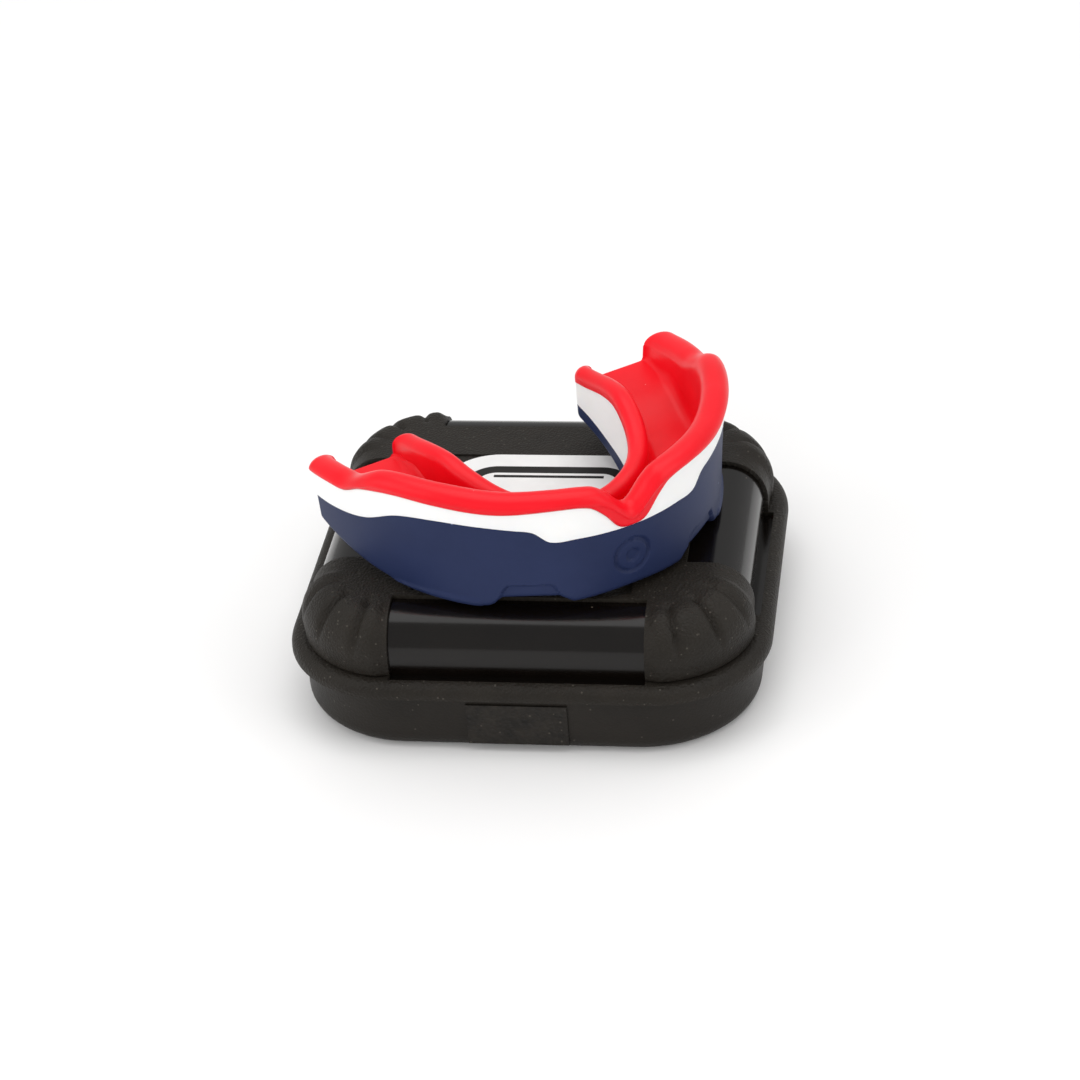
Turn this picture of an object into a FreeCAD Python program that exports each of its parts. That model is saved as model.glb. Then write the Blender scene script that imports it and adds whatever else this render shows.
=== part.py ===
"""Mouthguard lying on its closed carrying case.

Frame: +Z up, origin on the table at the centre of the case, front of the case towards -Y.
All sizes are in millimetres.
"""
import FreeCAD, Part
import math
import os

V = FreeCAD.Vector

OVER = 1.0               # cutting blocks run past the surface by this much
TOUCH = 0.01             # two lengths closer than this count as equal

# Case, seen from above
CASE_W = 80.0            # outer width of the rim, along X
CASE_D = 76.0            # outer depth of the rim, along Y
RIM_R = 19.0             # corner radius of the rim
BASE_INSET_X = 2.0       # the rim overhangs the base by this much at the sides
BASE_INSET_Y = 0.7       # and by this much at the front and back
BAND_WALL = 2.2          # width of the matte rim band
DOME_INSET = 3.8         # the lid's dome stands this far inside the rim

# Case, heights
BASE_TOP = 10.0
LID_BOTTOM = 10.15
LEDGE_Z = 11.9           # gloss ledge round the dome
BAND_TOP = 12.6          # top of the matte rim band
COVER_FOOT = 12.9        # lower edge of the soft cover's corners
SHELL_TOP = 22.1         # flat top of the gloss shell
WALL = 1.0               # side walls, floor and roof
BOTTOM_FILLET = 2.8
DOME_FILLET = 6.5
LEDGE_FILLET = 2.1       # rounds the band's upper edge

# Soft cover over the dome, with a window in each side that shows the gloss shell
COVER_T = 0.7
WINDOW_X = 20.8          # the front and back windows run from -WINDOW_X to +WINDOW_X
WINDOW_Y = 15.5          # the side windows run from -WINDOW_Y to +WINDOW_Y
WINDOW_TOP_Y = 26.5      # the front and back windows start here on the top
WINDOW_TOP_X = 26.0      # the side windows start here
WINDOW_R = 3.5
COVER_TOP = SHELL_TOP + COVER_T
GROOVE_R = 0.6
GROOVE_ANGLES = (27, 63)
GROOVE_REACH = 16.8      # from the corner's centre to the groove's foot
GROOVE_CROWN = 2.2       # the groove starts this far above the shell's top
GROOVE_BEND = 0.76       # share of the reach at which it turns down
GROOVE_DROP = 1.2        # depth of that turn below the shell's top

# Lip of the base inside the lid's groove
LIP_T = 0.6
LIP_H = 1.2
LIP_GAP = 0.3
LIP_BACK = 22.0          # the lip stops here, clear of the hinge

# Hinge across the back
HINGE_Y = CASE_D / 2 + 1.6
HINGE_Z = LID_BOTTOM
BARREL_R = 2.2
PIN_R = 0.9
PIN_GAP = 0.05
HINGE_HALF = 18.0
KNUCKLE_SPLIT = 9.85
KNUCKLE_GAP = 0.15
KNUCKLE_ROOM = 0.4

# Thumb grip on the front of the base
GRIP_HALF_W = 8.2
GRIP_LOW = 1.6
GRIP_HIGH = 9.2
GRIP_PROUD = 0.35
GRIP_SEAT = 0.5

# Name label let into the cover's top
LABEL_W = 36.0
LABEL_D = 42.0
LABEL_R = 9.0
LABEL_Y = -4.0
LABEL_T = 0.4
KEYLINE_IN = 3.8
KEYLINE_W = 2.1
KEYLINE_T = 0.2
RULE_STEPS = (-2, -1, 0, 1, 2)
RULE_PITCH = 7.0         # ruled lines inside the keyline
RULE_W = 0.8
RULE_GAP = 2.6           # from the keyline to the ends of the ruled lines

# Mouthguard, in its own axes: the front of the arch at -Y, the legs towards +Y
ARCH_OUT = (34.5, 42.5)  # half width and depth of the outer wall's ellipse
ARCH_IN = (16.0, 29.0)   # the same for the inner wall
LEG = 2.0                # straight length behind the ellipse
LEG_W = ARCH_OUT[0] - ARCH_IN[0]
SKIN_T = 1.4             # navy shell
BAND_T = 1.1             # white layer
LINER_T = 2.1            # red liner of the outer wall
LINER_IN_T = 1.6         # red liner of the inner wall
SHELL_FLOOR = 2.2
BAND_FLOOR = 1.6
LINER_FLOOR = 3.0
GUARD_H = 20.0           # rim of the outer wall, just clear of the closed case's roof
BAND_H = 18.0
SHELL_H = 13.2
LINGUAL_H = 14.6         # rim of the inner wall
LINGUAL_BAND_H = 12.4
LINGUAL_SHELL_H = 3.2
GUARD_TURN = 37.5        # the mouthguard lies turned by this much on the lid
GUARD_CENTRE = (-7.4, 9.5)
GUARD_GAP = 0.2          # clearance between the mouthguard and the lid
GUARD_Z = COVER_TOP + GUARD_GAP


def rounded(width, depth, radius, z=0.0):
    """Face of a rounded rectangle, centred on the Z axis."""
    x, y = width / 2, depth / 2
    cut = radius * (1 - math.sqrt(0.5))
    points = []
    for sx, sy in ((1, 1), (-1, 1), (-1, -1), (1, -1)):
        arc = [
            V(sx * x, sy * (y - radius), z),
            V(sx * (x - cut), sy * (y - cut), z),
            V(sx * (x - radius), sy * y, z),
        ]
        points.append(arc if sx * sy > 0 else arc[::-1])
    edges = []
    for i, arc in enumerate(points):
        following = points[(i + 1) % len(points)]
        edges.append(Part.Arc(*arc).toShape())
        edges.append(Part.LineSegment(arc[2], following[0]).toShape())
    return Part.Face(Part.Wire(edges))


def box(x0, x1, y0, y1, z0, z1):
    return Part.makeBox(x1 - x0, y1 - y0, z1 - z0, V(x0, y0, z0))


def cylinder_x(radius, x0, x1, y, z):
    return Part.makeCylinder(radius, x1 - x0, V(x0, y, z), V(1, 0, 0))


def edges_at(shape, z):
    """Edges that lie wholly at one height."""
    found = []
    for edge in shape.Edges:
        if all(abs(vertex.Z - z) < TOUCH for vertex in edge.Vertexes):
            found.append(edge)
    return found


def case_block(inset, z0, z1):
    """Prism of the rim's outline, shrunk by inset all round."""
    face = rounded(CASE_W - 2 * inset, CASE_D - 2 * inset, RIM_R - inset, z0)
    return face.extrude(V(0, 0, z1 - z0))


def base_block(inset, z0, z1):
    """Prism of the base's outline, shrunk by inset all round."""
    width = CASE_W - 2 * (BASE_INSET_X + inset)
    depth = CASE_D - 2 * (BASE_INSET_Y + inset)
    return rounded(width, depth, RIM_R - inset, z0).extrude(V(0, 0, z1 - z0))


def bowl(inset, z0, z1, fillet):
    """Base block with its lower edge rounded."""
    block = base_block(inset, z0, z1)
    return block.makeFillet(fillet, edges_at(block, z0))


def dome(grow, z0=LID_BOTTOM):
    """The lid's dome with its upper edge rounded, grown outwards by grow."""
    top = SHELL_TOP + grow
    block = case_block(DOME_INSET - grow, z0, top)
    return block.makeFillet(DOME_FILLET + grow, edges_at(block, top))


def knuckle(x0, x1, wall_inset, web_low, web_high):
    """Hinge knuckle with a web that reaches the case wall."""
    barrel = cylinder_x(BARREL_R, x0, x1, HINGE_Y, HINGE_Z)
    return barrel.fuse(box(x0, x1, CASE_D / 2 - wall_inset, HINGE_Y, web_low, web_high))


def knuckle_room(x0, x1):
    """Running clearance round a knuckle of the other half."""
    reach = BARREL_R + KNUCKLE_ROOM
    return cylinder_x(reach, x0 - KNUCKLE_GAP, x1 + KNUCKLE_GAP, HINGE_Y, HINGE_Z)


def side_spans():
    """X ranges of the two knuckles that belong to the base."""
    return ((-HINGE_HALF, -KNUCKLE_SPLIT), (KNUCKLE_SPLIT, HINGE_HALF))


def lip_ring(grow, z0, z1):
    """Ring of the base's locating lip, grown by grow on both faces."""
    outer = base_block(WALL - LIP_T - grow, z0, z1)
    inner = base_block(WALL + grow, z0 - OVER, z1 + OVER)
    return outer.cut(inner)


def lip_groove():
    return lip_ring(LIP_GAP, LID_BOTTOM - OVER, BASE_TOP + LIP_H + LIP_GAP)


def grip_window():
    return box(-GRIP_HALF_W, GRIP_HALF_W, -CASE_D, 0, GRIP_LOW, GRIP_HIGH)


def make_base_tray():
    outer = bowl(0, 0, BASE_TOP, BOTTOM_FILLET)
    hollow = bowl(WALL, WALL, BASE_TOP + OVER, BOTTOM_FILLET - WALL)
    seat = grip_window().cut(bowl(GRIP_SEAT, -OVER, COVER_TOP, BOTTOM_FILLET))
    lip = lip_ring(0, BASE_TOP - OVER, BASE_TOP + LIP_H)
    lip = lip.cut(box(-CASE_W, CASE_W, LIP_BACK, CASE_D, 0, COVER_TOP))
    body = outer.cut(hollow).fuse(lip).cut(seat)
    root = BASE_INSET_Y + WALL / 2
    for x0, x1 in side_spans():
        ends = (x0 + KNUCKLE_GAP, x1 - KNUCKLE_GAP)
        body = body.fuse(knuckle(*ends, root, HINGE_Z - BARREL_R, BASE_TOP))
    body = body.cut(cylinder_x(PIN_R, -CASE_W, CASE_W, HINGE_Y, HINGE_Z))
    return body.removeSplitter()


def make_thumb_grip():
    outer = bowl(-GRIP_PROUD, -OVER, COVER_TOP, BOTTOM_FILLET)
    plate = outer.cut(bowl(GRIP_SEAT, -OVER, COVER_TOP, BOTTOM_FILLET))
    return plate.common(grip_window())


def make_hinge_pin():
    return cylinder_x(PIN_R, -HINGE_HALF, HINGE_HALF, HINGE_Y, HINGE_Z)


def make_lid_shell():
    skirt = case_block(BAND_WALL, LID_BOTTOM, LEDGE_Z)
    body = skirt.fuse(dome(0)).cut(dome(-WALL, LID_BOTTOM - OVER))
    body = body.cut(lip_groove())
    half = KNUCKLE_SPLIT - KNUCKLE_GAP
    root = BAND_WALL + WALL
    body = body.fuse(knuckle(-half, half, root, LEDGE_Z - WALL / 2, HINGE_Z + BARREL_R))
    body = body.cut(cylinder_x(PIN_R + PIN_GAP, -CASE_W, CASE_W, HINGE_Y, HINGE_Z))
    for x0, x1 in side_spans():
        body = body.cut(knuckle_room(x0, x1))
    return body.removeSplitter()


def label_prism(inset, depth):
    """Rounded block under the cover's top surface."""
    z = COVER_TOP - depth
    face = rounded(LABEL_W - 2 * inset, LABEL_D - 2 * inset, LABEL_R - inset, z)
    face.translate(V(0, LABEL_Y, 0))
    return face.extrude(V(0, 0, depth))


def label_plate():
    return label_prism(0, LABEL_T)


def make_label_print():
    """Keyline and ruled lines, printed into the label as one layer of ink."""
    inner = KEYLINE_IN + KEYLINE_W
    ink = label_prism(KEYLINE_IN, KEYLINE_T).cut(label_prism(inner, KEYLINE_T))
    half = LABEL_W / 2 - inner - RULE_GAP
    for step in RULE_STEPS:
        y = LABEL_Y + step * RULE_PITCH
        rule = box(-half, half, y - RULE_W / 2, y + RULE_W / 2, COVER_TOP - KEYLINE_T, COVER_TOP)
        ink = ink.fuse(rule)
    return ink


def make_name_label():
    return label_plate().cut(make_label_print())


def window_column(half_w, start, turn):
    """Column through one window of the cover, its upper end rounded."""
    far = CASE_W
    outline = [V(-half_w, -far, 0), V(half_w, -far, 0), V(half_w, -start, 0), V(-half_w, -start, 0)]
    column = Part.Face(Part.makePolygon(outline + outline[:1])).extrude(V(0, 0, 2 * far))
    upright = []
    for edge in column.Edges:
        middle = edge.CenterOfMass
        if abs(middle.y + start) < TOUCH and abs(middle.x) > half_w - TOUCH:
            upright.append(edge)
    column = column.makeFillet(WINDOW_R, upright)
    column.rotate(V(0, 0, 0), V(0, 0, 1), turn)
    return column


def windows():
    front = window_column(WINDOW_X, WINDOW_TOP_Y, 0)
    side = window_column(WINDOW_Y, WINDOW_TOP_X, 90)
    columns = [front, side]
    for column in (front, side):
        opposite = column.copy()
        opposite.rotate(V(0, 0, 0), V(0, 0, 1), 180)
        columns.append(opposite)
    return columns


def corner_groove(sx, sy, angle):
    """Round groove that runs from the cover's crown down to its foot at one corner."""
    centre_x, centre_y = CASE_W / 2 - RIM_R, CASE_D / 2 - RIM_R
    out_x, out_y = math.cos(math.radians(angle)), math.sin(math.radians(angle))

    def at(reach, z):
        return V(sx * (centre_x + reach * out_x), sy * (centre_y + reach * out_y), z)

    crown = at(0, SHELL_TOP + GROOVE_CROWN)
    bend = at(GROOVE_BEND * GROOVE_REACH, SHELL_TOP - GROOVE_DROP)
    arc = Part.Arc(crown, bend, at(GROOVE_REACH, COVER_FOOT)).toShape()
    ring = Part.makeCircle(GROOVE_R, crown, arc.tangentAt(arc.FirstParameter))
    return Part.Wire([arc]).makePipe(Part.Face(Part.Wire([ring])))


def make_lid_cover():
    body = dome(COVER_T, COVER_FOOT).cut(dome(0)).cut(label_plate())
    for column in windows():
        body = body.cut(column)
    for sx in (-1, 1):
        for sy in (-1, 1):
            for angle in GROOVE_ANGLES:
                body = body.cut(corner_groove(sx, sy, angle))
    return body


def make_rim_band():
    """Matte band round the lid, widened into a flange at each corner."""
    rim = case_block(0, LID_BOTTOM, BAND_TOP)
    rim = rim.makeFillet(LEDGE_FILLET, edges_at(rim, BAND_TOP))
    body = rim.cut(case_block(BAND_WALL, 0, COVER_TOP))
    flange = rim.cut(dome(0, 0)).cut(case_block(BAND_WALL, 0, LEDGE_Z))
    for column in windows():
        flange = flange.cut(column)
    body = body.fuse(flange).cut(lip_groove())
    for x0, x1 in side_spans():
        body = body.cut(knuckle_room(x0, x1))
    half = KNUCKLE_SPLIT - KNUCKLE_GAP
    inside = CASE_D / 2 - BAND_WALL - OVER
    body = body.cut(box(-half, half, inside, CASE_D, LID_BOTTOM - OVER, COVER_TOP))
    return body.removeSplitter()


def arch_prism(depth, z0, z1, extra_leg=0.0):
    """Block inside the arch outline that lies depth in from the outer wall's leg."""
    part = depth / LEG_W
    half = ARCH_OUT[0] + (ARCH_IN[0] - ARCH_OUT[0]) * part
    long = ARCH_OUT[1] + (ARCH_IN[1] - ARCH_OUT[1]) * part
    ellipse = Part.Ellipse(V(0, -long, z0), V(half, 0, z0), V(0, 0, z0))
    front = Part.ArcOfEllipse(ellipse, -math.pi / 2, math.pi / 2).toShape()
    back = LEG + extra_leg
    corners = [V(-half, 0, z0), V(-half, back, z0), V(half, back, z0), V(half, 0, z0)]
    edges = [front] + Part.makePolygon(corners).Edges
    face = Part.Face(Part.Wire(Part.__sortEdges__(edges)))
    return face.extrude(V(0, 0, z1 - z0))


def arch_wall(outer, inner, z0, z1):
    """Wall between two arch outlines, open at the back."""
    return arch_prism(outer, z0, z1).cut(arch_prism(inner, z0 - OVER, z1 + OVER, LEG))


def place_guard(shape):
    """Turns a mouthguard piece and lays it on the lid."""
    placed = shape.copy()
    placed.rotate(V(0, 0, 0), V(0, 0, 1), GUARD_TURN)
    placed.translate(V(GUARD_CENTRE[0], GUARD_CENTRE[1], GUARD_Z))
    return placed


def guard_layer(start, floor_z, floor_t, walls, heights):
    """Channel of one layer: floor, outer wall and inner wall, as one solid."""
    out_t, in_t = walls
    out_h, in_h = heights
    outer = arch_wall(start, start + out_t, floor_z, out_h)
    floor = arch_wall(start, LEG_W - start, floor_z, floor_z + floor_t)
    inner = arch_wall(LEG_W - start - in_t, LEG_W - start, floor_z, in_h)
    return floor.fuse(outer).fuse(inner).removeSplitter()


def make_guard_shell():
    walls = (SKIN_T, SKIN_T)
    return place_guard(guard_layer(0, 0, SHELL_FLOOR, walls, (SHELL_H, LINGUAL_SHELL_H)))


def make_guard_band():
    heights = (BAND_H, LINGUAL_BAND_H)
    return place_guard(guard_layer(SKIN_T, SHELL_FLOOR, BAND_FLOOR, (BAND_T, BAND_T), heights))


def make_guard_liner():
    start = SKIN_T + BAND_T
    floor_z = SHELL_FLOOR + BAND_FLOOR
    walls = (LINER_T, LINER_IN_T)
    return place_guard(guard_layer(start, floor_z, LINER_FLOOR, walls, (GUARD_H, LINGUAL_H)))


def save(name, shape):
    shape.exportStep(os.path.join("parts", name + ".step"))
    solids = len(shape.Solids)
    print("%-26s solids %d valid %s volume %.1f" % (name, solids, shape.isValid(), shape.Volume))


def main():
    os.makedirs("parts", exist_ok=True)
    makers = {
        "base_tray": make_base_tray,
        "thumb_grip": make_thumb_grip,
        "hinge_pin": make_hinge_pin,
        "lid_shell": make_lid_shell,
        "rim_band": make_rim_band,
        "lid_cover": make_lid_cover,
        "name_label": make_name_label,
        "label_print": make_label_print,
        "mouthguard_shell": make_guard_shell,
        "mouthguard_band": make_guard_band,
        "mouthguard_liner": make_guard_liner,
    }
    for name, make in makers.items():
        save(name, make())


main()
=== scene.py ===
import bpy
import bmesh
from math import sin, cos, pi, radians, sqrt, hypot, exp
from mathutils import Vector, Matrix


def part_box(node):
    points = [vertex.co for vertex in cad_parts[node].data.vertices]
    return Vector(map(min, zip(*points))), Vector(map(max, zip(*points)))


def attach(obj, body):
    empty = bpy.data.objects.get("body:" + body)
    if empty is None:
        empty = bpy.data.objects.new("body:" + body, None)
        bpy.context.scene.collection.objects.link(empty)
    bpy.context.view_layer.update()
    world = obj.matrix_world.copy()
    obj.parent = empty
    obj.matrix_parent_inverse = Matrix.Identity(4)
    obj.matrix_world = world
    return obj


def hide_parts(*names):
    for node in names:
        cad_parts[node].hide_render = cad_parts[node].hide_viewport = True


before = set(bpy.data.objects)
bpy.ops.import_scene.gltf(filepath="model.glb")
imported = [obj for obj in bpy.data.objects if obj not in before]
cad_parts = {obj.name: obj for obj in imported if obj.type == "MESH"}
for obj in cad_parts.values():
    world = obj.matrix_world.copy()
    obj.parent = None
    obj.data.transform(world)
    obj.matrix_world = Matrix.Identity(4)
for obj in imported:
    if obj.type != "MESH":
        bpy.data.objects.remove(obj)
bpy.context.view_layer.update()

mm = 0.001
print("frame loaded")


def ease(t):
    t = min(max(t, 0.0), 1.0)
    return t * t * (3 - 2 * t)


def curveAt(points, x):
    # smooth curve through a few chosen points, level at its first one
    if x <= points[0][0]:
        return points[0][1]
    if x >= points[-1][0]:
        return points[-1][1]
    i = max(k for k in range(len(points) - 1) if points[k][0] <= x)

    def slope(k):
        if k == 0:
            return 0.0
        before, after = points[k - 1], points[min(k + 1, len(points) - 1)]
        return (after[1] - before[1]) / (after[0] - before[0])

    (x0, y0), (x1, y1) = points[i], points[i + 1]
    width = x1 - x0
    t = (x - x0) / width
    rise = (3 - 2 * t) * t * t
    lean0 = t * (1 - t) ** 2 * slope(i) * width
    lean1 = -t * t * (1 - t) * slope(i + 1) * width
    return y0 + (y1 - y0) * rise + lean0 + lean1


def selectOnly(piece):
    bpy.ops.object.select_all(action="DESELECT")
    piece.select_set(True)
    bpy.context.view_layer.objects.active = piece


def applyModifiers(piece):
    selectOnly(piece)
    for modifier in list(piece.modifiers):
        bpy.ops.object.modifier_apply(modifier=modifier.name)


def settle(piece):
    # the place goes into the mesh, and the object ends at the origin
    selectOnly(piece)
    bpy.ops.object.transform_apply(location=True, rotation=True, scale=True)


def meshPiece(name, build):
    mesh = bpy.data.meshes.new(name)
    shape = bmesh.new()
    build(shape)
    bmesh.ops.recalc_face_normals(shape, faces=shape.faces)
    shape.to_mesh(mesh)
    shape.free()
    piece = bpy.data.objects.new(name, mesh)
    bpy.context.scene.collection.objects.link(piece)
    return piece


def smoothShade(piece, angle):
    selectOnly(piece)
    bpy.ops.object.shade_smooth_by_angle(angle=radians(angle))


def newGroup(name, inputs, outputs):
    group = bpy.data.node_groups.new(name, "ShaderNodeTree")
    for label, kind, value in inputs:
        socket = group.interface.new_socket(label, in_out="INPUT", socket_type=kind)
        if value is not None:
            socket.default_value = value
    for label, kind in outputs:
        group.interface.new_socket(label, in_out="OUTPUT", socket_type=kind)
    return group, group.nodes.new("NodeGroupInput"), group.nodes.new("NodeGroupOutput")


def buildGrainGroup():
    # fine moulded grain, with broad soft patches
    group, given, result = newGroup(
        "mouldedGrain",
        [("Vector", "NodeSocketVector", None), ("Fine", "NodeSocketFloat", 2500.0),
         ("Broad", "NodeSocketFloat", 90.0)],
        [("Height", "NodeSocketFloat"), ("Patch", "NodeSocketFloat")])
    nodes, links = group.nodes, group.links
    fine = nodes.new("ShaderNodeTexNoise")
    fine.inputs["Detail"].default_value = 3.0
    pits = nodes.new("ShaderNodeTexVoronoi")
    broad = nodes.new("ShaderNodeTexNoise")
    broad.inputs["Detail"].default_value = 5.0
    broad.inputs["Roughness"].default_value = 0.6
    both = nodes.new("ShaderNodeMath")
    both.operation = "ADD"
    for texture, scale in ((fine, "Fine"), (pits, "Fine"), (broad, "Broad")):
        links.new(given.outputs["Vector"], texture.inputs["Vector"])
        links.new(given.outputs[scale], texture.inputs["Scale"])
    links.new(fine.outputs["Fac"], both.inputs[0])
    links.new(pits.outputs["Distance"], both.inputs[1])
    links.new(both.outputs[0], result.inputs["Height"])
    links.new(broad.outputs["Fac"], result.inputs["Patch"])
    return group


def buildDustGroup():
    # scattered specks: small discs at random places, only in some of the cells
    group, given, result = newGroup(
        "dustSpecks",
        [("Vector", "NodeSocketVector", None), ("Scale", "NodeSocketFloat", 900.0),
         ("Radius", "NodeSocketFloat", 0.2), ("Share", "NodeSocketFloat", 0.2)],
        [("Mask", "NodeSocketFloat")])
    nodes, links = group.nodes, group.links
    cells = nodes.new("ShaderNodeTexVoronoi")
    pick = nodes.new("ShaderNodeSeparateColor")
    near = nodes.new("ShaderNodeMath")
    near.operation = "LESS_THAN"
    chosen = nodes.new("ShaderNodeMath")
    chosen.operation = "LESS_THAN"
    both = nodes.new("ShaderNodeMath")
    both.operation = "MULTIPLY"
    links.new(given.outputs["Vector"], cells.inputs["Vector"])
    links.new(given.outputs["Scale"], cells.inputs["Scale"])
    links.new(cells.outputs["Distance"], near.inputs[0])
    links.new(given.outputs["Radius"], near.inputs[1])
    links.new(cells.outputs["Color"], pick.inputs["Color"])
    links.new(pick.outputs["Red"], chosen.inputs[0])
    links.new(given.outputs["Share"], chosen.inputs[1])
    links.new(near.outputs[0], both.inputs[0])
    links.new(chosen.outputs[0], both.inputs[1])
    links.new(both.outputs[0], result.inputs["Mask"])
    return group


patchRange = (0.3, 0.7)   # where a patch is wholly dark, and wholly light
grainGroup = buildGrainGroup()
dustGroup = buildDustGroup()


def plastic(name, look):
    # one moulded finish: patchy colour, varied gloss, grain and dust
    material = bpy.data.materials.new(name)
    material.use_nodes = True
    nodes, links = material.node_tree.nodes, material.node_tree.links
    shader = nodes["Principled BSDF"]
    place = nodes.new("ShaderNodeTexCoord")
    grain = nodes.new("ShaderNodeGroup")
    grain.node_tree = grainGroup
    grain.inputs["Fine"].default_value = look["fine"]
    grain.inputs["Broad"].default_value = look["broad"]
    dust = nodes.new("ShaderNodeGroup")
    dust.node_tree = dustGroup
    dust.inputs["Scale"].default_value = look["dustScale"]
    dust.inputs["Radius"].default_value = look["dustRadius"]
    dust.inputs["Share"].default_value = look["dustShare"]
    for group in (grain, dust):
        links.new(place.outputs["Object"], group.inputs["Vector"])

    tone = nodes.new("ShaderNodeValToRGB")
    for element, position, shade in zip(tone.color_ramp.elements, patchRange, ("dark", "light")):
        element.position = position
        element.color = (*look[shade], 1)
    dusty = nodes.new("ShaderNodeMix")
    dusty.data_type = "RGBA"
    dusty.inputs["B"].default_value = (*look["dustColour"], 1)
    links.new(grain.outputs["Patch"], tone.inputs["Fac"])
    links.new(tone.outputs["Color"], dusty.inputs["A"])
    links.new(dust.outputs["Mask"], dusty.inputs["Factor"])
    links.new(dusty.outputs["Result"], shader.inputs["Base Color"])

    gloss = nodes.new("ShaderNodeMapRange")
    gloss.inputs["To Min"].default_value = look["rough"][0]
    gloss.inputs["To Max"].default_value = look["rough"][1]
    links.new(grain.outputs["Patch"], gloss.inputs["Value"])
    links.new(gloss.outputs["Result"], shader.inputs["Roughness"])

    bump = nodes.new("ShaderNodeBump")
    bump.inputs["Strength"].default_value = look["bump"]
    bump.inputs["Distance"].default_value = look["depth"] * mm
    links.new(grain.outputs["Height"], bump.inputs["Height"])
    links.new(bump.outputs["Normal"], shader.inputs["Normal"])

    for socket, value in look.get("shader", {}).items():
        shader.inputs[socket].default_value = value
    return material


softTouch = plastic("softTouchBlack", dict(
    dark=(0.0105, 0.0085, 0.0062), light=(0.0175, 0.0142, 0.0106), rough=(0.44, 0.6),
    fine=2300.0, broad=110.0, bump=0.8, depth=0.15,
    dustColour=(0.05, 0.044, 0.036), dustScale=1200.0, dustRadius=0.2, dustShare=0.22,
    shader={"Specular IOR Level": 0.22}))

mouldedBlack = plastic("mouldedBlack", dict(
    dark=(0.009, 0.0072, 0.0054), light=(0.0145, 0.0118, 0.009), rough=(0.4, 0.54),
    fine=2400.0, broad=80.0, bump=0.45, depth=0.07,
    dustColour=(0.045, 0.039, 0.032), dustScale=1000.0, dustRadius=0.16, dustShare=0.14,
    shader={"Specular IOR Level": 0.2}))

pebbled = plastic("pebbledGrip", dict(
    dark=(0.005, 0.0041, 0.0032), light=(0.018, 0.0148, 0.0114), rough=(0.38, 0.6),
    fine=1300.0, broad=520.0, bump=0.9, depth=0.16,
    dustColour=(0.05, 0.043, 0.035), dustScale=1000.0, dustRadius=0.18, dustShare=0.18,
    shader={"Specular IOR Level": 0.22}))

polished = plastic("polishedBlack", dict(
    dark=(0.0028, 0.0019, 0.0014), light=(0.0042, 0.003, 0.0022), rough=(0.11, 0.22),
    fine=900.0, broad=140.0, bump=0.05, depth=0.02,
    dustColour=(0.08, 0.066, 0.052), dustScale=420.0, dustRadius=0.07, dustShare=0.12,
    shader={"Specular IOR Level": 0.34}))

labelWhite = plastic("labelWhite", dict(
    dark=(0.74, 0.74, 0.73), light=(0.84, 0.84, 0.83), rough=(0.28, 0.4),
    fine=4000.0, broad=120.0, bump=0.1, depth=0.02,
    dustColour=(0.5, 0.5, 0.49), dustScale=500.0, dustRadius=0.06, dustShare=0.06))

labelInk = plastic("labelInk", dict(
    dark=(0.006, 0.005, 0.0045), light=(0.011, 0.0095, 0.0085), rough=(0.3, 0.42),
    fine=4000.0, broad=200.0, bump=0.12, depth=0.02,
    dustColour=(0.12, 0.12, 0.12), dustScale=600.0, dustRadius=0.06, dustShare=0.06,
    shader={"Specular IOR Level": 0.25}))

pinSteel = plastic("pinSteel", dict(
    dark=(0.42, 0.42, 0.43), light=(0.6, 0.6, 0.61), rough=(0.25, 0.4),
    fine=3000.0, broad=300.0, bump=0.15, depth=0.02,
    dustColour=(0.3, 0.29, 0.28), dustScale=900.0, dustRadius=0.1, dustShare=0.1,
    shader={"Metallic": 1.0}))

guardNavy = plastic("guardNavy", dict(
    dark=(0.0135, 0.0215, 0.066), light=(0.0185, 0.0285, 0.082), rough=(0.42, 0.54),
    fine=3400.0, broad=55.0, bump=0.22, depth=0.04,
    dustColour=(0.26, 0.3, 0.42), dustScale=330.0, dustRadius=0.045, dustShare=0.13,
    shader={"Specular IOR Level": 0.16}))

guardWhite = plastic("guardWhite", dict(
    dark=(0.9, 0.895, 0.88), light=(0.95, 0.945, 0.93), rough=(0.36, 0.48),
    fine=3400.0, broad=60.0, bump=0.12, depth=0.03,
    dustColour=(0.7, 0.69, 0.66), dustScale=400.0, dustRadius=0.04, dustShare=0.06,
    shader={"Subsurface Weight": 0.15, "Subsurface Radius": (0.004, 0.003, 0.002),
            "Subsurface Scale": 1.0}))

guardRed = plastic("guardRed", dict(
    dark=(0.75, 0.003, 0.0105), light=(0.84, 0.0055, 0.016), rough=(0.28, 0.42),
    fine=2600.0, broad=70.0, bump=0.14, depth=0.03,
    dustColour=(0.9, 0.3, 0.3), dustScale=380.0, dustRadius=0.04, dustShare=0.06,
    shader={"Specular IOR Level": 0.24, "Subsurface Weight": 0.08,
            "Subsurface Radius": (0.004, 0.0008, 0.0008), "Subsurface Scale": 1.0}))

nodeFinishes = {
    "base_tray": mouldedBlack, "thumb_grip": pebbled, "hinge_pin": pinSteel,
    "lid_shell": polished, "rim_band": softTouch,
    "name_label": labelWhite, "label_print": labelInk}
for nodeName, finish in nodeFinishes.items():
    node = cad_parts[nodeName]
    for slot in node.material_slots:
        slot.material = finish
print("materials made")


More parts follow.
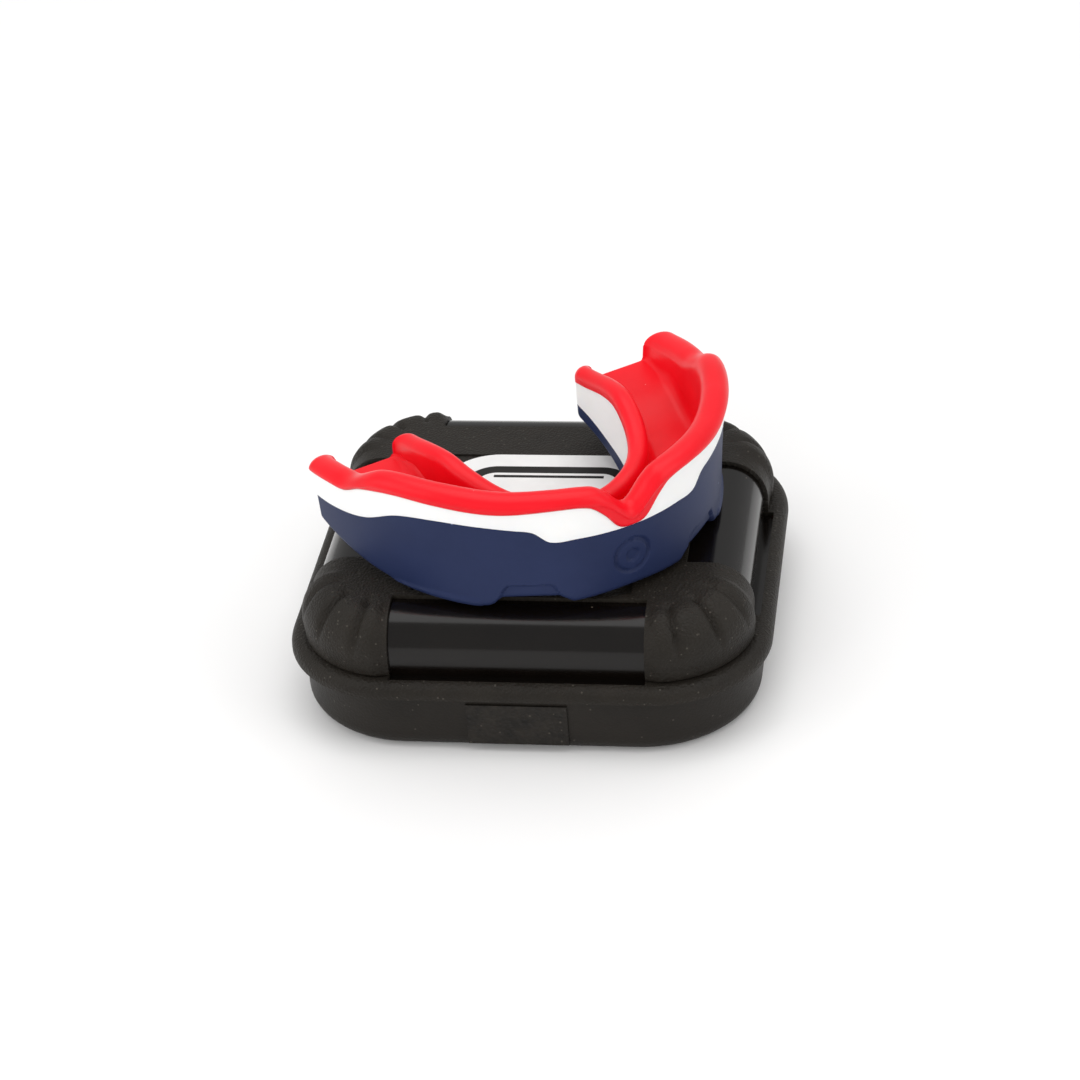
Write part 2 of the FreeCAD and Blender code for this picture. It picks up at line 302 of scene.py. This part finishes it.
# lid cover: a soft skin with lobed corners and four windows
cover = dict(
    foot=12.9,            # mm above the table
    roundOver=7.2,        # radius between wall and top
    cornerRadius=15.9,
    wallRows=10, roundRows=22, topRows=16,
    sidePoints=64, cornerPoints=72,
    bulge=0.8,            # how far the corners swell
    bulgeEdge=9.0,        # degrees over which the swell sets in
    grooveAngles=(20, 44, 71),
    grooveDepth=(0.5, 0.88, 0.8),
    grooveWidth=2.7,      # degrees
    windowHalf=(20.8, 15.5), windowStart=(26.5, 26.0), windowRadius=3.5,
    skin=1.05,            # reaches a little into the shell
    coreDrop=3,           # the hollow starts this far below the foot
    edgeRound=0.16,
    cutReach=60.0, cutLow=5.0, cutHigh=40.0,   # the window cutters run well past the skin
    labelRadius=9.0)      # fits the label's own corners

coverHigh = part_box("lid_cover")[1]
coverTop = coverHigh.z / mm


def coverOutline(halfX, halfY, radius):
    # points round the foot: place, outward direction and the angle within the corner
    ring = []
    for quarter in range(4):
        turn = quarter * pi / 2
        sx, sy = ((1, 1), (-1, 1), (-1, -1), (1, -1))[quarter]
        cx, cy = sx * (halfX - radius), sy * (halfY - radius)
        for k in range(cover["cornerPoints"] + 1):
            a = turn + k / cover["cornerPoints"] * pi / 2
            out = Vector((cos(a), sin(a)))
            folded = k / cover["cornerPoints"] * 90
            alpha = folded if sx * sy > 0 else 90 - folded   # from X towards Y at every corner
            ring.append((Vector((cx, cy)) + radius * out, out, alpha))
        nx, ny = ((-1, 1), (-1, -1), (1, -1), (1, 1))[quarter]
        start = ring[-1][0]
        if quarter % 2 == 0:
            end = Vector((nx * (halfX - radius), ny * halfY))
        else:
            end = Vector((nx * halfX, ny * (halfY - radius)))
        for k in range(1, cover["sidePoints"]):
            ring.append((start.lerp(end, k / cover["sidePoints"]), out, None))
    return ring


def coverSwell(alpha, lean, height):
    # lean: 0 on the wall, 1 on the flat top. height: 0 at the foot, 1 at the wall's head
    if alpha is None:
        return 0.0
    atEdge = ease(min(alpha, 90 - alpha) / cover["bulgeEdge"])
    crown = ease((1.0 - lean) / 0.34)
    swell = cover["bulge"] * crown * atEdge * (0.7 + 0.3 * height)
    run = ease((1.0 - lean) / 0.14) * ease((height - 0.25) / 0.75)
    run *= 0.14 + 0.86 * ease(lean / 0.42)   # deepest where the pad turns over
    for angle, depth in zip(cover["grooveAngles"], cover["grooveDepth"]):
        across = (alpha - angle) / (cover["grooveWidth"] * (0.65 + 0.7 * lean))
        swell -= depth * run * exp(-abs(across) ** 1.5)
    return swell


def buildDome(shape, grow, foot, lobed):
    radius, roundOver = cover["cornerRadius"] + grow, cover["roundOver"] + grow
    halfX, halfY = coverHigh.x / mm + grow, coverHigh.y / mm + grow
    top = coverTop + grow
    ring = coverOutline(halfX, halfY, radius)
    wallHead = top - roundOver
    rows = []
    for k in range(cover["wallRows"]):
        rise = k / cover["wallRows"]
        rows.append((0.0, foot + (wallHead - foot) * rise, rise))
    for k in range(cover["roundRows"] + 1):
        rows.append((k / cover["roundRows"], None, 1.0))
    loops = []
    for lean, z, height in rows:
        tilt = lean * pi / 2
        inset = roundOver * (1 - cos(tilt))
        level = z if z is not None else wallHead + roundOver * sin(tilt)
        loop = []
        for place, out, alpha in ring:
            swell = coverSwell(alpha, lean, height) if lobed else 0.0
            flat = place - out * inset + out * swell * cos(tilt)
            high = level + swell * sin(tilt)
            loop.append(shape.verts.new((flat.x * mm, flat.y * mm, high * mm)))
        loops.append(loop)
    edge = loops[-1]
    for k in range(1, cover["topRows"]):
        shrink = 1 - k / cover["topRows"]
        loops.append([shape.verts.new((v.co.x * shrink, v.co.y * shrink, v.co.z)) for v in edge])
    for low, high in zip(loops, loops[1:]):
        for k in range(len(low)):
            n = (k + 1) % len(low)
            shape.faces.new((low[k], low[n], high[n], high[k]))
    shape.faces.new(loops[-1])
    shape.faces.new(list(reversed(loops[0])))
    bmesh.ops.remove_doubles(shape, verts=shape.verts, dist=1e-6)


def roundedCutter(name, low, high, radius):
    # a block with its upright edges rounded
    size = [high[k] - low[k] for k in range(3)]
    middle = [(high[k] + low[k]) / 2 * mm for k in range(3)]
    bpy.ops.object.select_all(action="DESELECT")
    bpy.ops.mesh.primitive_cube_add(size=1, location=middle, scale=[s * mm for s in size])
    cutter = bpy.context.object
    cutter.name = name
    settle(cutter)
    bpy.ops.object.mode_set(mode="EDIT")
    bpy.ops.mesh.select_all(action="DESELECT")
    shape = bmesh.from_edit_mesh(cutter.data)
    for edge in shape.edges:
        rise = abs(edge.verts[0].co.z - edge.verts[1].co.z)
        edge.select = rise > 0.9 * size[2] * mm
    bmesh.update_edit_mesh(cutter.data)
    bpy.ops.mesh.bevel(offset=radius * mm, segments=14)
    bpy.ops.object.mode_set(mode="OBJECT")
    return cutter


def cutAway(piece, cutter):
    change = piece.modifiers.new("cut", "BOOLEAN")
    change.operation = "DIFFERENCE"
    change.solver = "EXACT"
    change.object = cutter
    applyModifiers(piece)
    bpy.data.objects.remove(cutter)


def makeLidCover():
    piece = meshPiece("lid_soft_cover", lambda shape: buildDome(shape, 0.0, cover["foot"], True))
    core = meshPiece("core", lambda shape: buildDome(
        shape, -cover["skin"], cover["foot"] - cover["coreDrop"], False))
    cutAway(piece, core)
    (halfX, halfY), (startY, startX) = cover["windowHalf"], cover["windowStart"]
    far, low, high = cover["cutReach"], cover["cutLow"], cover["cutHigh"]
    for side in (-1, 1):
        ends = sorted((side * startY, side * far))
        cutAway(piece, roundedCutter(
            "window", (-halfX, ends[0], low), (halfX, ends[1], high), cover["windowRadius"]))
        ends = sorted((side * startX, side * far))
        cutAway(piece, roundedCutter(
            "window", (ends[0], -halfY, low), (ends[1], halfY, high), cover["windowRadius"]))
    labelLow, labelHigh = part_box("name_label")
    cutAway(piece, roundedCutter(
        "seat", (labelLow.x / mm, labelLow.y / mm, labelLow.z / mm),
        (labelHigh.x / mm, labelHigh.y / mm, high), cover["labelRadius"]))
    soften = piece.modifiers.new("soften", "BEVEL")
    soften.width = cover["edgeRound"] * mm
    soften.segments = 2
    soften.limit_method = "ANGLE"
    soften.angle_limit = radians(50)
    applyModifiers(piece)
    smoothShade(piece, 40)
    piece.data.materials.append(softTouch)
    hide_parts("lid_cover")
    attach(piece, "lid")
    return piece


makeLidCover()
print("lid cover made")


# mouthguard: three colours moulded round one arch
guard = dict(
    turn=37.5, centre=(-7.4, 9.5),
    outer=(34.5, 42.5), inner=(16.0, 29.0), innerPower=0.8,
    legEnd={-1: 91.0, 1: 93.0},   # degrees round the arch to 90, then mm along the leg
    stationSteps=((7, 0.3), (40, 0.6), (200, 0.9)),   # (up to here, this far apart)
    flare=1.3, flareHeight=20.0,
    endRound=1.7, endPinch=0.12, endSquash=0.1, endMiddle=10.0,
    # edges of the colours: (degrees from the midline, mm above the underside)
    rim=((0, 16.5), (2, 17), (6, 19.5), (10, 21), (20, 21.5), (35, 21.5), (50, 22), (65, 21.5),
         (75, 18), (80, 17.5), (85, 17), (93, 16)),
    redEdge=((0, 13), (4, 13.5), (8, 16.5), (12, 18.5), (20, 19), (35, 18.5), (50, 19), (60, 19),
             (70, 17.5), (76, 15.5), (82, 15), (93, 14)),
    navyEdge=((0, 13), (15, 13), (22, 13), (26, 15), (30, 15.5), (40, 16), (50, 16), (60, 15),
              (70, 12), (80, 10.5), (93, 9.5)),
    bottom=((0, 1), (15, 0.5), (17, 0.5), (20, 1.5), (35, 1.5), (39, 0), (50, 0), (60, 0.5),
            (70, 1.5), (80, 3), (90, 4.5), (93, 5)),
    lingualRim=((0, 12), (20, 13), (40, 14), (60, 16), (70, 17), (80, 16.5), (93, 14.5)),
    lingualBand=2.5,
    lingualNavy=((0, 3.5), (50, 4.5), (75, 5.5), (93, 8)),
    floor=((0, 8), (50, 7), (75, 8.5), (85, 10.5), (93, 11.5)),
    archFrom=17.5, archTo=38.5, archTop=4.5, archSlope=5.5,
    archDepth=0.5, archEdge=0.8, soleProud=0.28, soleHeight=1.5, soleEnd=66,
    markHeight=7.0, markRadius=3.0, markLine=0.32, markDepth=0.38, markDot=0.38, markEdge=0.24,
    footBend=1.1,         # radius along the underside
    # the hidden sides of the colours: mm in from either face, and mm above the sole
    navyTo=1.6, navyBed=2.1,
    whiteFrom=1.5, whiteTo=2.7, whiteBase=2.2, whiteBed=3.8,
    redFrom=2.6, redBase=3.9,
    rimHalf=2.35, rimProud=0.42, rimCrown=2.3,
    channelBend=1.8, channelRipple=0.25,
    lipHalf=1.7, lipCrown=1.6)


def archSpan(angle):
    # outer and inner points of the arch at one station, in the guard's own axes
    side = 1 if angle >= 0 else -1
    turned = radians(min(abs(angle), 90.0))
    back = max(abs(angle) - 90.0, 0.0)
    power = guard["innerPower"]
    (wide, deep), (wideIn, deepIn) = guard["outer"], guard["inner"]
    outer = Vector((side * wide * sin(turned), back - deep * cos(turned)))
    inner = Vector((side * wideIn * sin(turned) ** power,
                    back - deepIn * max(cos(turned), 0.0) ** power))
    return outer, inner


def archStations():
    # close together at the front mark and the rounded ends, wider apart along the legs
    halves = {}
    for side, end in guard["legEnd"].items():
        half, angle = [], 0.0
        while angle < end - 0.02:
            half.append(angle)
            left = end - angle
            angle += next(step for upTo, step in guard["stationSteps"] if angle < upTo)
            if left < guard["endRound"] + 1:
                angle = end - left * 0.8
        halves[side] = half + [end]
    return [-a for a in reversed(halves[-1][1:])] + halves[1]


def frontRelief(angle, z):
    # how far the navy face stands out: sunk mark, arches between the feet, and the feet's soles
    out = 0.0
    a = abs(angle)
    outer = archSpan(angle)[0]
    fromMark = hypot(outer.x, z - guard["markHeight"])
    ring = abs(fromMark - guard["markRadius"]) - guard["markLine"]
    dot = fromMark - guard["markRadius"] * guard["markDot"]
    out -= guard["markDepth"] * ease(0.5 - min(ring, dot) / guard["markEdge"])
    start, end, slope = guard["archFrom"], guard["archTo"], guard["archSlope"]
    archTop = guard["archTop"] * ease((a - start) / slope) * ease((end - a) / slope)
    sunk = guard["archDepth"] * ease((archTop - z) / 0.35 + 0.5)
    out -= sunk * ease((a - start) / guard["archEdge"]) * ease((end - a) / guard["archEdge"])
    if a > end:
        raised = guard["soleProud"] * ease((guard["soleHeight"] - z) / 0.3 + 0.5)
        out += raised * ease((a - end - 1.5) / 1.2) * ease((guard["soleEnd"] - a) / 3.0)
    return out


def outerFace(angle, z):
    lean = guard["flare"] * (max(z, 0.0) / guard["flareHeight"]) ** 1.5
    return -lean


def edgeHeights(angle):
    a = abs(angle)
    heights = {key: curveAt(guard[key], a) for key in
               ("rim", "redEdge", "navyEdge", "bottom", "lingualRim", "lingualNavy", "floor")}
    heights["lingualRed"] = heights["lingualRim"] - guard["lingualBand"]
    heights["lingualNavy"] = max(heights["lingualNavy"], heights["bottom"] + 2.5)
    heights["whiteTop"] = max(heights["redEdge"], heights["navyEdge"] + 0.05)
    return heights


def climb(low, high, steps):
    return [low + (high - low) * k / steps for k in range(steps + 1)]


def navySection(angle, width, h):
    # depth from the outer face and height, round the whole section
    sole, bend = h["bottom"], guard["footBend"]
    wall, bed = guard["navyTo"], sole + guard["navyBed"]
    points = []
    for k in range(6):
        tilt = k / 6 * pi / 2
        z = sole + bend * (1 - cos(tilt))
        points.append((outerFace(angle, z) + bend * (1 - sin(tilt)) - frontRelief(angle, z), z))
    for z in climb(sole + bend, h["navyEdge"] - 0.12, 46):
        points.append((outerFace(angle, z) - frontRelief(angle, z), z))
    top = h["navyEdge"]
    points += [(outerFace(angle, top) + 0.14, top), (wall, top), (wall, bed), (width - wall, bed)]
    points += [(width - wall, h["lingualNavy"]), (width - 0.1, h["lingualNavy"])]
    for z in climb(h["lingualNavy"] - 0.1, sole + bend, 5):
        points.append((width, z))
    for k in range(1, 6):
        tilt = k / 6 * pi / 2
        points.append((width - bend * (1 - cos(tilt)), sole + bend * (1 - sin(tilt))))
    for depth in climb(width - bend, bend + 1.0, 6):
        points.append((depth, sole))
    return points


def whiteSection(angle, width, h):
    sole, low, high = h["bottom"], h["navyEdge"], h["whiteTop"]
    deep, shallow = guard["whiteTo"], guard["whiteFrom"]
    bed, base = sole + guard["whiteBed"], sole + guard["whiteBase"]
    points = [(outerFace(angle, low) + 0.12, low)]
    for z in climb(low + 0.02, high, 12):
        points.append((outerFace(angle, z) - 0.1, z))
    points += [(deep, high), (deep, bed), (width - deep, bed), (width - deep, h["lingualRed"])]
    for z in climb(h["lingualRed"], h["lingualNavy"] + 0.02, 10):
        points.append((width + 0.05, z))
    points += [(width - shallow, h["lingualNavy"]), (width - shallow, base)]
    points += [(shallow, base), (shallow, low)]
    return points


def redSection(angle, width, h):
    sole, low, rim = h["bottom"], h["redEdge"], h["rim"]
    roundUp = min(guard["rimCrown"], 0.85 * (rim - low))
    half, proud = guard["rimHalf"], guard["rimProud"]
    skin, base = guard["redFrom"], sole + guard["redBase"]
    centre = outerFace(angle, rim) - proud + half
    points = [(outerFace(angle, low) + 0.1, low), (outerFace(angle, low) - 0.22, low + 0.12)]
    for z in climb(low + 0.45, rim - roundUp, 4):
        points.append((outerFace(angle, z) - proud, z))
    for k in range(1, 18):
        tilt = pi - k / 18 * pi
        points.append((centre + half * cos(tilt), rim - roundUp + roundUp * sin(tilt)))
    floorZ = h["floor"] + guard["channelRipple"] * cos(radians(abs(angle) * 18))
    bend = guard["channelBend"] - 1.2 * ease((abs(angle) - 82) / 8)   # tighter at the ends
    wallIn = centre + half
    for z in climb(rim - roundUp, floorZ + bend, 7):
        points.append((wallIn + 0.5 * (1 - (z - floorZ) / (rim - floorZ)), z))
    for k in range(1, 6):
        tilt = k / 6 * pi / 2
        points.append((wallIn + 0.5 + bend * (1 - cos(tilt)), floorZ + bend * (1 - sin(tilt))))
    halfIn, crown = guard["lipHalf"], min(guard["lipCrown"], 0.8 * guard["lingualBand"])
    innerWall = width + 0.15 - 2 * halfIn
    for depth in climb(wallIn + 0.5 + bend, innerWall - bend - 0.4, 6):
        points.append((depth, floorZ))
    for k in range(1, 6):
        tilt = k / 6 * pi / 2
        points.append((innerWall - 0.4 - bend * (1 - sin(tilt)), floorZ + bend * (1 - cos(tilt))))
    lip = max(h["lingualRim"] - crown, floorZ + bend + 0.2)
    for z in climb(floorZ + bend, lip, 4):
        points.append((innerWall, z))
    for k in range(1, 14):
        tilt = pi - k / 14 * pi
        points.append((innerWall + halfIn + halfIn * cos(tilt), lip + crown * sin(tilt)))
    points += [(width + 0.15, lip), (width + 0.15, h["lingualRed"] + 0.1), (width, h["lingualRed"])]
    points += [(width - skin, h["lingualRed"]), (width - skin, base), (skin, base), (skin, low)]
    return points


def buildLayer(shape, section):
    turned = Matrix.Rotation(radians(guard["turn"]), 2)
    centre = Vector(guard["centre"])
    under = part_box("mouthguard_shell")[0].z
    loops = []
    for angle in archStations():
        outer, inner = archSpan(angle)
        width = (inner - outer).length
        inward = (inner - outer) / width
        end = guard["legEnd"][1 if angle >= 0 else -1]
        past = max(abs(angle) - end + guard["endRound"], 0.0) / guard["endRound"]
        slack = 1 - sqrt(max(1 - past * past, 0.0))
        pinch, squash = 1 - guard["endPinch"] * slack, 1 - guard["endSquash"] * slack
        loop = []
        for depth, z in section(angle, width, edgeHeights(angle)):
            depth = width / 2 + (depth - width / 2) * pinch
            z = guard["endMiddle"] + (z - guard["endMiddle"]) * squash
            place = turned @ (outer + inward * depth) + centre
            loop.append(shape.verts.new((place.x * mm, place.y * mm, under + z * mm)))
        loops.append(loop)
    for one, other in zip(loops, loops[1:]):
        for k in range(len(one)):
            n = (k + 1) % len(one)
            shape.faces.new((one[k], one[n], other[n], other[k]))
    shape.faces.new(loops[0])
    shape.faces.new(list(reversed(loops[-1])))


layers = {
    "mouthguard_navy_shell": ("mouthguard_shell", navySection, guardNavy, "guard_navy"),
    "mouthguard_white_band": ("mouthguard_band", whiteSection, guardWhite, "guard_white"),
    "mouthguard_red_liner": ("mouthguard_liner", redSection, guardRed, "guard_red")}
for pieceName, (nodeName, section, finish, slotName) in layers.items():
    layer = meshPiece(pieceName, lambda shape: buildLayer(shape, section))
    smoothShade(layer, 42)
    layer.data.materials.append(finish)
    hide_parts(nodeName)
    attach(layer, "mouthguard")
print("mouthguard made")


# floor, light and camera
studio = dict(
    floorSize=6.0, floorColour=(0.86, 0.855, 0.85), floorRough=0.5,
    worldColour=(1.0, 1.0, 1.0), worldStrength=0.55)

lamps = {
    # name: (place in m, size in m, watts, seen in reflections)
    "overhead": ((0.0, 0.12, 0.9), (1.1, 0.8), 4.6, True),
    "backWall": ((0.1, 1.1, 0.6), (1.6, 0.8), 2.6, False),
    "frontFill": ((-0.25, -1.0, 0.5), (0.9, 0.5), 4.2, False),
    "leftFill": ((-0.8, -0.3, 0.5), (0.6, 0.6), 1.6, True),
    "rightFill": ((0.8, -0.2, 0.5), (0.6, 0.7), 1.8, True)}

view = dict(elevation=33.0, azimuth=10.3, roll=4.8, distance=0.508,
            target=(-0.0006, 0.0, 0.0164), lens=100.0)


def makeStudio():
    bpy.ops.object.select_all(action="DESELECT")
    bpy.ops.mesh.primitive_plane_add(size=studio["floorSize"], location=(0, 0, 0))
    floor = bpy.context.object
    floor.name = "studio_floor"
    material = bpy.data.materials.new("paleFloor")
    material.use_nodes = True
    shader = material.node_tree.nodes["Principled BSDF"]
    shader.inputs["Base Color"].default_value = (*studio["floorColour"], 1)
    shader.inputs["Roughness"].default_value = studio["floorRough"]
    floor.data.materials.append(material)
    world = bpy.data.worlds.new("studioWorld")
    world.use_nodes = True
    backdrop = world.node_tree.nodes["Background"]
    backdrop.inputs["Color"].default_value = (*studio["worldColour"], 1)
    backdrop.inputs["Strength"].default_value = studio["worldStrength"]
    bpy.context.scene.world = world
    bpy.context.scene.view_settings.view_transform = "Standard"
    for name, (place, size, watts, mirrored) in lamps.items():
        light = bpy.data.lights.new(name, "AREA")
        light.shape = "RECTANGLE"
        light.size, light.size_y = size
        light.energy = watts
        lamp = bpy.data.objects.new(name, light)
        lamp.location = place
        lamp.visible_glossy = mirrored
        lamp.rotation_euler = (-Vector(place)).to_track_quat("-Z", "Y").to_euler()
        bpy.context.scene.collection.objects.link(lamp)


def makeCamera():
    up, side = radians(view["elevation"]), radians(view["azimuth"])
    forward = Vector((-sin(side) * cos(up), cos(side) * cos(up), -sin(up)))
    level = Vector((cos(side), sin(side), 0.0))
    upright = level.cross(forward)
    tilt = radians(view["roll"])
    right = cos(tilt) * level - sin(tilt) * upright
    top = sin(tilt) * level + cos(tilt) * upright
    place = Vector(view["target"]) - view["distance"] * forward
    lens = bpy.data.cameras.new("camera")
    lens.lens = view["lens"]
    lens.sensor_width = 36.0
    lens.clip_start = 0.01
    camera = bpy.data.objects.new("camera", lens)
    turn = Matrix((right, top, -forward)).transposed()
    camera.matrix_world = Matrix.Translation(place) @ turn.to_4x4()
    bpy.context.scene.collection.objects.link(camera)
    bpy.context.scene.camera = camera


makeStudio()
makeCamera()
print("studio made")
